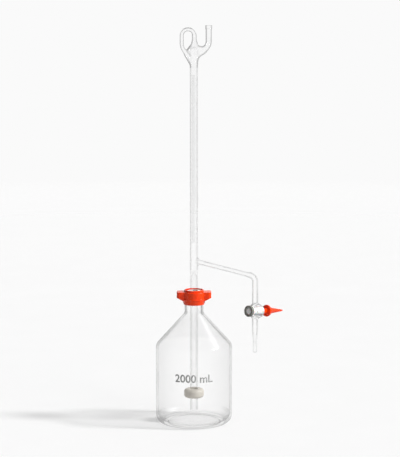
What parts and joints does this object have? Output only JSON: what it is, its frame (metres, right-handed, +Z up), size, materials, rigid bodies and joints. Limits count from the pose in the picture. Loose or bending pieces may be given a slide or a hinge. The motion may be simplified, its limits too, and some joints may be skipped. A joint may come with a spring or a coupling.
{
  "type": "automatic burette",
  "caption": "Self-zeroing glass burette on a reservoir bottle, with a winged screw cap, side-arm stopcock, jet and looped overflow head.",
  "frame": {"origin": "centre of the bottle's foot on the bench", "axes": "+Z up along the burette's axis, +X towards the side arm, +Y away from the side the volume mark faces"},
  "size_m": [0.2288, 0.136, 0.708],
  "materials": {
    "clear_glass": "clear borosilicate glass",
    "orange_plastic": "moulded, glossy",
    "white_ptfe": "turned, waxy",
    "dark_rubber": "matt",
    "pale_silicone": "matt, slightly translucent",
    "dark_nut": "moulded, satin"
  },
  "bodies": {
    "bottle": {"reservoir_bottle": "clear_glass", "rim_gasket": "pale_silicone", "sealing_adapter": "white_ptfe"},
    "gland": {"gland_bush": "white_ptfe"},
    "cap": {"screw_cap": "orange_plastic"},
    "seal_ring": {"tube_o_ring": "dark_rubber"},
    "burette": {"dip_tube": "clear_glass", "fill_tube": "clear_glass", "burette_tube": "clear_glass", "zero_head": "clear_glass", "overflow_loop": "clear_glass", "vent_arm": "clear_glass", "side_arm": "clear_glass", "stopcock_barrel": "clear_glass", "delivery_jet": "clear_glass"},
    "disc": {"steadying_disc": "pale_silicone"},
    "key": {"stopcock_key": "white_ptfe", "stopcock_handle": "orange_plastic"},
    "key_rings": {"key_washer": "white_ptfe", "key_o_ring": "dark_rubber"},
    "nut": {"retaining_nut": "dark_nut"}
  },
  "joints": [
    {"name": "cap_rise", "type": "slide", "parent": "bottle", "child": "gland", "axis": [0, 0, 1], "range_m": [0, 0.01]},
    {"name": "cap_turn", "type": "hinge", "parent": "gland", "child": "cap", "pos_m": [0, 0, 0.225], "axis": [0, 0, 1], "range_deg": [0, 721]},
    {"name": "burette_swivel", "type": "hinge", "parent": "bottle", "child": "seal_ring", "pos_m": [0, 0, 0.231], "axis": [0, 0, 1], "continuous": true},
    {"name": "burette_height", "type": "slide", "parent": "seal_ring", "child": "burette", "axis": [0, 0, 1], "range_m": [-0.008, 0.06]},
    {"name": "disc_slide", "type": "slide", "parent": "burette", "child": "disc", "axis": [0, 0, 1], "range_m": [-0.012, 0.05]},
    {"name": "key_turn", "type": "hinge", "parent": "burette", "child": "key", "pos_m": [0.109, 0, 0.2016], "axis": [0.7032, 0.7032, -0.1045], "continuous": true},
    {"name": "nut_travel", "type": "slide", "parent": "key", "child": "key_rings", "axis": [-0.7032, -0.7032, 0.1045], "range_m": [0, 0.0015]},
    {"name": "nut_turn", "type": "hinge", "parent": "key_rings", "child": "nut", "pos_m": [0.109, 0, 0.2016], "axis": [-0.7032, -0.7032, 0.1045], "range_deg": [0, 361]}
  ],
  "couplings": [
    {"joint": "cap_turn", "follows": "cap_rise", "rad_per_m": 1256.6},
    {"joint": "nut_turn", "follows": "nut_travel", "rad_per_m": 4188.8}
  ]
}
